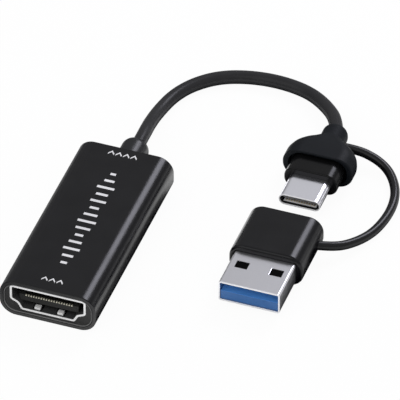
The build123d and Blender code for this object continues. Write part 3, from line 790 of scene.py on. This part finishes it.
strain_relief = add_piece(
    bm, "strain_relief", "root", ["cable_strain_relief"], "relief_black"
)

# %% [markdown]
# ## The plug head
#
# The hood is soft rubber: full and straight at its mouth, then shoulders that fall away to a round neck and
# a knuckle that holds the cable. Stations follow those shoulders on a smooth curve through a few shares of
# its length and width. The mouth is open, with a deep step round the collar that stays in shadow.

# %% Hood
hood_width = 14.0 * mm
hood_height = 6.8 * mm
hood_neck = 5.0 * mm
hood_straight = 2.2 * mm
hood_taper = 6.1 * mm
knuckle_end_radius = 1.7 * mm
knuckle_steps = 10
hood_edge = 0.3 * mm
recess_gap = 0.5 * mm
recess_edge = 0.12 * mm
recess_depth = 1.3 * mm
collar_radius = 2.2 * mm
round_share = 0.485
taper_steps = 24
# Shares of the taper's length, of the width left above the neck, and of the height left above it
shoulder_shares = (
    (0.0, 1.0, 1.0), (0.28, 0.9, 0.95), (0.52, 0.66, 0.72), (0.75, 0.28, 0.34), (1.0, 0.0, 0.0),
)


def smooth_share(places, values, at):
    """A value between given ones, on a smooth curve that never overshoots them."""
    slopes = [
        (after - before) / (far - near)
        for near, far, before, after in zip(places, places[1:], values, values[1:])
    ]
    tangents = [0.0]
    for left, right in zip(slopes, slopes[1:]):
        tangents.append(2 * left * right / (left + right) if left * right > 0 else 0.0)
    tangents.append(0.0)
    index = min(sum(place <= at for place in places) - 1, len(slopes) - 1)
    span = places[index + 1] - places[index]
    t = (at - places[index]) / span
    return (
        values[index] * (1 + 2 * t) * (1 - t) ** 2
        + tangents[index] * span * t * (1 - t) ** 2
        + values[index + 1] * t * t * (3 - 2 * t)
        + tangents[index + 1] * span * t * t * (t - 1)
    )


collar_low, collar_high, collar_middle = node_size("plug_collar")
collar_size = collar_high - collar_low
hood_low, hood_high, _ = node_size("plug_hood")
lengths, widths, heights = zip(*shoulder_shares)
shoulders = []
for step in range(taper_steps + 1):
    along = step / taper_steps
    width = hood_neck + smooth_share(lengths, widths, along) * (hood_width - hood_neck)
    height = hood_neck + smooth_share(lengths, heights, along) * (hood_height - hood_neck)
    y = hood_low.y + hood_straight + along * hood_taper
    shoulders.append((width, height, round_share * min(width, height), y))
recess = (
    collar_size.x + 2 * recess_gap, collar_size.z + 2 * recess_gap, collar_radius + recess_gap,
)
hood_mouth = (hood_width, hood_height, round_share * hood_height)
knuckle = (hood_neck, hood_neck, round_share * hood_neck)
bm = skin(collar_middle, [
    (collar_size.x, collar_size.z, collar_radius, collar_high.y),
    (collar_size.x, collar_size.z, collar_radius, hood_low.y + recess_depth),
    (*recess, hood_low.y + recess_depth),
    *rounded_end(*recess, hood_low.y, 1, -recess_edge),
    *reversed(rounded_end(*hood_mouth, hood_low.y, 1, hood_edge)),
    *shoulders,
    *rounded_end(*knuckle, hood_high.y, -1, knuckle_end_radius, knuckle_steps),
])
hood = add_piece(bm, "hood", "root", ["plug_hood"], "hood_black")

# %% [markdown]
# The collar is a glossy block that carries the metal plug. It has the same kind of outline, with a small
# round at its front edge and a pocket for the plug.

# %% Collar
collar_edge = 0.3 * mm
pocket_fit = 0.03 * mm
pocket_rear_wall = 1.0 * mm
half_round_share = 0.4995

shell_low, shell_high, shell_middle = node_size("slim_plug_shell")
shell_size = shell_high - shell_low
pocket = (
    shell_size.x + 2 * pocket_fit, shell_size.z + 2 * pocket_fit,
    half_round_share * (shell_size.z + 2 * pocket_fit),
)
collar_outside = (collar_size.x, collar_size.z, collar_radius)
bm = skin(collar_middle, [
    (*pocket, collar_high.y - pocket_rear_wall),
    (*pocket, collar_low.y),
    *reversed(rounded_end(*collar_outside, collar_low.y, 1, collar_edge)),
    (*collar_outside, collar_high.y),
])
collar = add_piece(bm, "collar", "root", ["plug_collar"], "collar_black")

# %% [markdown]
# The slim plug's shell is a deep drawn tube with a wall a quarter of a millimetre thick. Its front lip is
# rounded on both sides, and with the painted highlight on its rim this is the bright line round its mouth.

# %% Slim plug shell
slim_wall = 0.25 * mm
slim_lip = 0.1 * mm

slim_outside = (shell_size.x, shell_size.z, half_round_share * shell_size.z)
slim_inner_height = shell_size.z - 2 * slim_wall
slim_inner_width = shell_size.x - 2 * slim_wall
slim_inside = (slim_inner_width, slim_inner_height, half_round_share * slim_inner_height)
bm = skin(shell_middle, [
    (*slim_inside, shell_high.y),
    (*slim_outside, shell_high.y),
    *rounded_end(*slim_outside, shell_low.y, 1, slim_lip),
    *reversed(rounded_end(*slim_inside, shell_low.y, 1, -slim_lip)),
], closed=True)
slim_shell = add_piece(bm, "slim_shell", "root", ["slim_plug_shell"], "plug_plating")

# %% [markdown]
# Just inside its slot, a thin earthing spring lines the floor and the roof. From above it is the grey bar
# in the plug's mouth.

# %% Earthing springs in the slot
slot_width = 6.5 * mm
slot_height = 1.0 * mm
slot_start = 0.32 * mm
spring_length = 1.3 * mm
spring_thickness = 0.04 * mm


def plate(bm, low, high):
    """A flat plate between two corners."""
    shape = Matrix.Translation((low + high) / 2) @ Matrix.Diagonal((*(high - low), 1.0))
    bmesh.ops.create_cube(bm, size=1.0, matrix=shape)


bm = bmesh.new()
spring_left = shell_middle.x - slot_width / 2
spring_front = shell_low.y + slot_start
for side in (-1, 1):
    wall_z = shell_middle.z + side * slot_height / 2
    inner_z = wall_z - side * spring_thickness
    plate(
        bm,
        Vector((spring_left, spring_front, min(wall_z, inner_z))),
        Vector((spring_left + slot_width, spring_front + spring_length, max(wall_z, inner_z))),
    )
slot_springs = add_piece(bm, "slot_springs", "root", [], "spring_grey")

# %% [markdown]
# ## The adapter
#
# The adapter's case is a pillow of glossy black plastic, open at both ends for its two connectors. Its outer
# skin and its cavity have different outlines, and the two end faces join them.

# %% Adapter case
adapter_radius = 3.0 * mm
adapter_edge = 0.6 * mm
adapter_edge_steps = 8
cavity_radius = 0.4 * mm
cover_gap = 0.05 * mm

case_low, case_high, case_middle = node_size("adapter_shell")
case_size = case_high - case_low
cover_low, cover_high, _ = node_size("adapter_rear_cover")
case_outside = (case_size.x, case_size.z, adapter_radius)
cavity = (
    cover_high.x - cover_low.x + 2 * cover_gap, cover_high.z - cover_low.z + 2 * cover_gap, cavity_radius,
)
bm = skin(case_middle, [
    (*cavity, case_high.y),
    *reversed(rounded_end(*case_outside, case_high.y, -1, adapter_edge, adapter_edge_steps)),
    *rounded_end(*case_outside, case_low.y, 1, adapter_edge, adapter_edge_steps),
    (*cavity, case_low.y),
], closed=True)
adapter_case = add_piece(bm, "adapter_case", "adapter", ["adapter_shell"], "adapter_black")

# %% [markdown]
# The two latch windows of the wide plug look dark because a black plate of painted shade lies on the blue
# tongue behind the contacts.

# %% Painted shade plate under the windows
shade_plate_front = 4.6 * mm
shade_plate_rear_gap = 0.1 * mm
shade_plate_side_gap = 0.4 * mm
shade_plate_thickness = 0.12 * mm

wide_low, _, _ = node_size("wide_plug_shell")
blue_low, blue_high, _ = node_size("wide_plug_tongue")
bm = bmesh.new()
plate(
    bm,
    Vector((blue_low.x + shade_plate_side_gap, wide_low.y + shade_plate_front, blue_high.z)),
    Vector((blue_high.x - shade_plate_side_gap, blue_high.y - shade_plate_rear_gap, blue_high.z + shade_plate_thickness)),
)
window_shade_plate = add_piece(bm, "window_shade_plate", "adapter", [], "shade_plate_black")

# %% [markdown]
# ## Pieces that keep their solid shape
#
# The plates, connectors, contacts and everything on the board already have the right shape. They only need
# soft edges, even normals and a finish. Modifiers give the edges without touching the meshes: welding joins
# the loose triangles, a planar clean-up removes the lines between them, and a bevel rounds what is left.

# %% Finish the carried-over nodes
soft_edge = 0.04 * mm
rim_edge = 0.09 * mm
soft_edge_segments = 2
flat_angle = math.radians(1)


def dress(node, look, edge):
    """Give a solid node its look and softly rounded edges."""
    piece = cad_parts[node]
    piece.data.materials.clear()
    piece.data.materials.append(looks[look])
    weld = piece.modifiers.new("join_triangles", "WELD")
    weld.merge_threshold = weld_distance
    clean = piece.modifiers.new("flat_faces", "DECIMATE")
    clean.decimate_type = "DISSOLVE"
    clean.angle_limit = flat_angle
    if edge:
        bevel = piece.modifiers.new("soft_edges", "BEVEL")
        bevel.width = edge
        bevel.segments = soft_edge_segments
        bevel.limit_method = "ANGLE"
        bevel.angle_limit = sharp_angle
        bevel.harden_normals = False
    weighted = piece.modifiers.new("even_normals", "WEIGHTED_NORMAL")
    weighted.keep_sharp = True


carried = {
    "front_plate": "plate_grey",
    "rear_plate": "plate_grey",
    "video_socket_shell": "socket_plating_painted_light",
    "contact_carrier": "tongue_grey",
    "main_board": "board_green",
    "capture_chip": "chip_black",
    "thermal_pad": "thermal_grey",
    "flash_memory": "chip_black",
    "clock_crystal": "can_metal",
    "voltage_regulator": "chip_black",
    "power_inductor": "chip_black",
    "capacitors": "ceramic_tan",
    "resistors": "chip_black",
    "solder_joints": "solder_metal",
    "slim_plug_filler": "carrier_black",
    "slim_plug_pins": "contact_gold",
    "plug_board": "board_green",
    "adapter_rear_cover": "adapter_black",
    "slim_socket_shell": "wide_plating",
    "slim_socket_tongue": "carrier_black",
    "slim_socket_pins": "contact_gold",
    "adapter_board": "board_green",
    "wide_plug_shell": "wide_plating",
    "wide_plug_tongue": "blue_plastic",
    "wide_plug_contacts": "contact_gold",
    **{wire: wire + "_skin" for wire in wire_colours},
}
edges = {
    "slim_plug_pins": 0, "slim_socket_pins": 0, "wide_plug_contacts": 0,
    "wide_plug_shell": rim_edge, "video_socket_shell": rim_edge,
}
for node, look in carried.items():
    dress(node, look, edges.get(node, soft_edge))
print("dressed nodes", len(carried))

# %% [markdown]
# ## Printed marks
#
# The top carries plain white marks: a row of level bars along the box, and small arrows that show which
# way the signal goes in and out. They are thin pads of ink on the sleeve, a hair above its face.

# %% Marks
ink_thickness = 0.015 * mm
bar_shares = (0.35, 0.6, 0.9, 0.7, 0.45, 0.8, 1.0, 0.75, 0.5, 0.85, 0.65, 0.95, 0.55, 0.3)
bar_height = 3.6 * mm
bar_width = 0.62 * mm
bars_from = -13.2 * mm
bars_to = 13.6 * mm
bars_x = 0.2 * mm
arrow_length = 1.2 * mm
arrow_reach = 0.6 * mm
arrow_stroke = 0.42 * mm
arrow_pitch = 1.5 * mm
# The place of each row of arrows along Y, and how many it has
arrow_rows = ((-19.2 * mm, 3), (18.9 * mm, 4))


def ink_pad(bm, corners):
    """A thin pad of ink over an outline on the sleeve's top."""
    draw_out(bm, [(x, y, sleeve_high.z) for x, y in corners], (0, 0, ink_thickness))


def arrow_head(bm, x, y):
    """One open arrow head that points along +Y."""
    ink_pad(bm, (
        (x - arrow_reach, y),
        (x, y + arrow_length - arrow_stroke),
        (x + arrow_reach, y),
        (x + arrow_reach, y + arrow_stroke),
        (x, y + arrow_length),
        (x - arrow_reach, y + arrow_stroke),
    ))


bm = bmesh.new()
bar_pitch = (bars_to - bars_from) / (len(bar_shares) - 1)
for index, share in enumerate(bar_shares):
    y = bars_from + index * bar_pitch
    half = share * bar_height / 2
    ink_pad(bm, (
        (bars_x - half, y - bar_width / 2),
        (bars_x + half, y - bar_width / 2),
        (bars_x + half, y + bar_width / 2),
        (bars_x - half, y + bar_width / 2),
    ))
for y, count in arrow_rows:
    for index in range(count):
        arrow_head(bm, (index - (count - 1) / 2) * arrow_pitch, y)
add_piece(bm, "printed_marks", "root", [], "print_white")

# %% [markdown]


# %% [markdown]
# ## Table, room and light
#
# The product lies on a white table in a white room. Rays that reach the camera see plain white. Reflections
# see a darker room, bright only low down on the right, and a table whose painted glow is dim on its left and
# behind the cable, and brightest between the box and the adapter. Close to the product the glow carries
# painted shade, and is dark. That painted shade keeps the lowest edge of glossy black plastic black, with one
# grey band above it, so the table measures it with ambient occlusion.

# %% How bright a ray finds the table and the room
camera_glow = 0.95
reflected_table = 1.9
shade_reach = 30 * mm
shade_samples = 16
shade_dark_below = 0.66
shade_bright_above = 0.95
dim_glow_until_x = -10 * mm
brightest_from_x = 15 * mm
brightest_to_x = 38 * mm
plain_from_x = 46 * mm
bright_to_y = 46 * mm
dim_glow_from_y = 58 * mm
dim_glow_share = 0.2
plain_share = 0.55
room_light = 0.58
room_foot = 1.4
room_foot_to = 0.3
room_side_to = 0.4
room_low = 0.3
room_high = 0.5
room_high_from = 0.55


def ray_kinds(tree):
    """Camera or transmission rays as one value, and glossy rays as another."""
    rays = tree.nodes.new("ShaderNodeLightPath").outputs
    seen = combine(tree, "MAXIMUM", rays["Is Camera Ray"], rays["Is Transmission Ray"])
    return seen, rays["Is Glossy Ray"]


def weighted_sum(tree, first, first_weight, second, second_weight):
    """One value from two, each with its own weight."""
    scaled = add_node(tree, "ShaderNodeMath", operation="MULTIPLY")
    total = add_node(tree, "ShaderNodeMath", operation="MULTIPLY_ADD")
    scaled.inputs[1].default_value = first_weight
    total.inputs[1].default_value = second_weight
    link_all(
        tree,
        (first, scaled.inputs[0]),
        (second, total.inputs[0]),
        (scaled.outputs[0], total.inputs[2]),
    )
    return total.outputs[0]


def show_either(tree, factor, first, second, output):
    """The first shader where the factor is 0 and the second where it is 1, as the tree's surface."""
    either = tree.nodes.new("ShaderNodeMixShader")
    link_all(
        tree,
        (factor, either.inputs[0]),
        (first.outputs[0], either.inputs[1]),
        (second.outputs[0], either.inputs[2]),
        (either.outputs[0], tree.nodes[output].inputs["Surface"]),
    )


# %% White table
table_size = 2000 * mm
table_roughness = 0.9
table_gloss = 0.1
white = (1.0, 1.0, 1.0, 1.0)

bm = bmesh.new()
bmesh.ops.create_grid(bm, x_segments=1, y_segments=1, size=table_size / 2)
table_mesh = bpy.data.meshes.new("table_top")
bm.to_mesh(table_mesh)
bm.free()
table = bpy.data.objects.new("table_top", table_mesh)
bpy.context.collection.objects.link(table)

table_white = bpy.data.materials.new("table_white")
table_white.use_nodes = True
tree = table_white.node_tree
paint = tree.nodes["Principled BSDF"]
paint.inputs["Base Color"].default_value = white
paint.inputs["Roughness"].default_value = table_roughness
paint.inputs["Specular IOR Level"].default_value = table_gloss
glow = add_node(tree, "ShaderNodeEmission", color=white)
seen, glossy = ray_kinds(tree)
shade = add_node(tree, "ShaderNodeAmbientOcclusion", samples=shade_samples, distance=shade_reach)
place = split(tree, "Object")
# Painted shade from ambient occlusion and a painted glow that changes across the table, seen only in
# reflections
reflected = combine(
    tree, "MULTIPLY",
    ramp(tree, shade.outputs["AO"], shade_dark_below, shade_bright_above, 0.0, 1.0, smooth=True),
    ramp(tree, place["X"], dim_glow_until_x, brightest_from_x, dim_glow_share, 1.0),
    ramp(tree, place["X"], brightest_to_x, plain_from_x, 1.0, plain_share),
    ramp(tree, place["Y"], bright_to_y, dim_glow_from_y, 1.0, dim_glow_share),
    glossy,
)
tree.links.new(weighted_sum(tree, seen, 1.0, reflected, reflected_table), glow.inputs["Strength"])
show_either(tree, weighted_sum(tree, seen, camera_glow, glossy, 1.0), paint, glow, "Material Output")
table_mesh.materials.append(table_white)

# %% Room
world = bpy.data.worlds.new("white_room")
bpy.context.scene.world = world
world.use_nodes = True
tree = world.node_tree
walls = tree.nodes["Background"]
walls.inputs["Color"].default_value = white
ambient = add_node(tree, "ShaderNodeBackground", color=white, strength=room_light)
way = split(tree, "Generated")
foot = combine(
    tree, "MULTIPLY",
    ramp(tree, way["Z"], 0.0, room_foot_to, room_foot, 0.0),
    ramp(tree, way["X"], 0.0, room_side_to, 0.0, 1.0),
)
wall = ramp(tree, way["Z"], room_foot_to, room_high_from, room_low, room_high)
seen, glossy = ray_kinds(tree)
tree.links.new(combine(tree, "MAXIMUM", seen, foot, wall), walls.inputs["Strength"])
show_either(tree, combine(tree, "MAXIMUM", seen, glossy), ambient, walls, "World Output")

# %% Soft boxes


def soft_box(name, towards, distance, width, height, radiance, colour):
    """A rectangular lamp that faces the product from a direction, at a given brightness of its face."""
    data = bpy.data.lights.new(name, "AREA")
    data.shape = "RECTANGLE"
    data.size = width
    data.size_y = height
    data.energy = radiance * math.pi * width * height
    data.color = colour
    lamp = bpy.data.objects.new(name, data)
    bpy.context.collection.objects.link(lamp)
    direction = Vector(towards).normalized()
    lamp.location = aim + distance * direction
    lamp.rotation_mode = "QUATERNION"
    lamp.rotation_quaternion = direction.to_track_quat("Z", "Y")
    lamp.visible_camera = False


soft_box(
    "edge_light", towards=(0.22, 0.72, 0.66), distance=500 * mm, width=190 * mm, height=190 * mm,
    radiance=7.5, colour=(0.89, 0.89, 1.0),
)
soft_box(
    "front_light", towards=(-0.35, -0.75, 0.8), distance=900 * mm, width=900 * mm, height=700 * mm,
    radiance=0.8, colour=(1.0, 1.0, 1.0),
)

# %% [markdown]
# ## Colours as they are
#
# The plain view transform keeps each colour as it was written.

# %% Last settings
bpy.context.scene.view_settings.view_transform = "Standard"
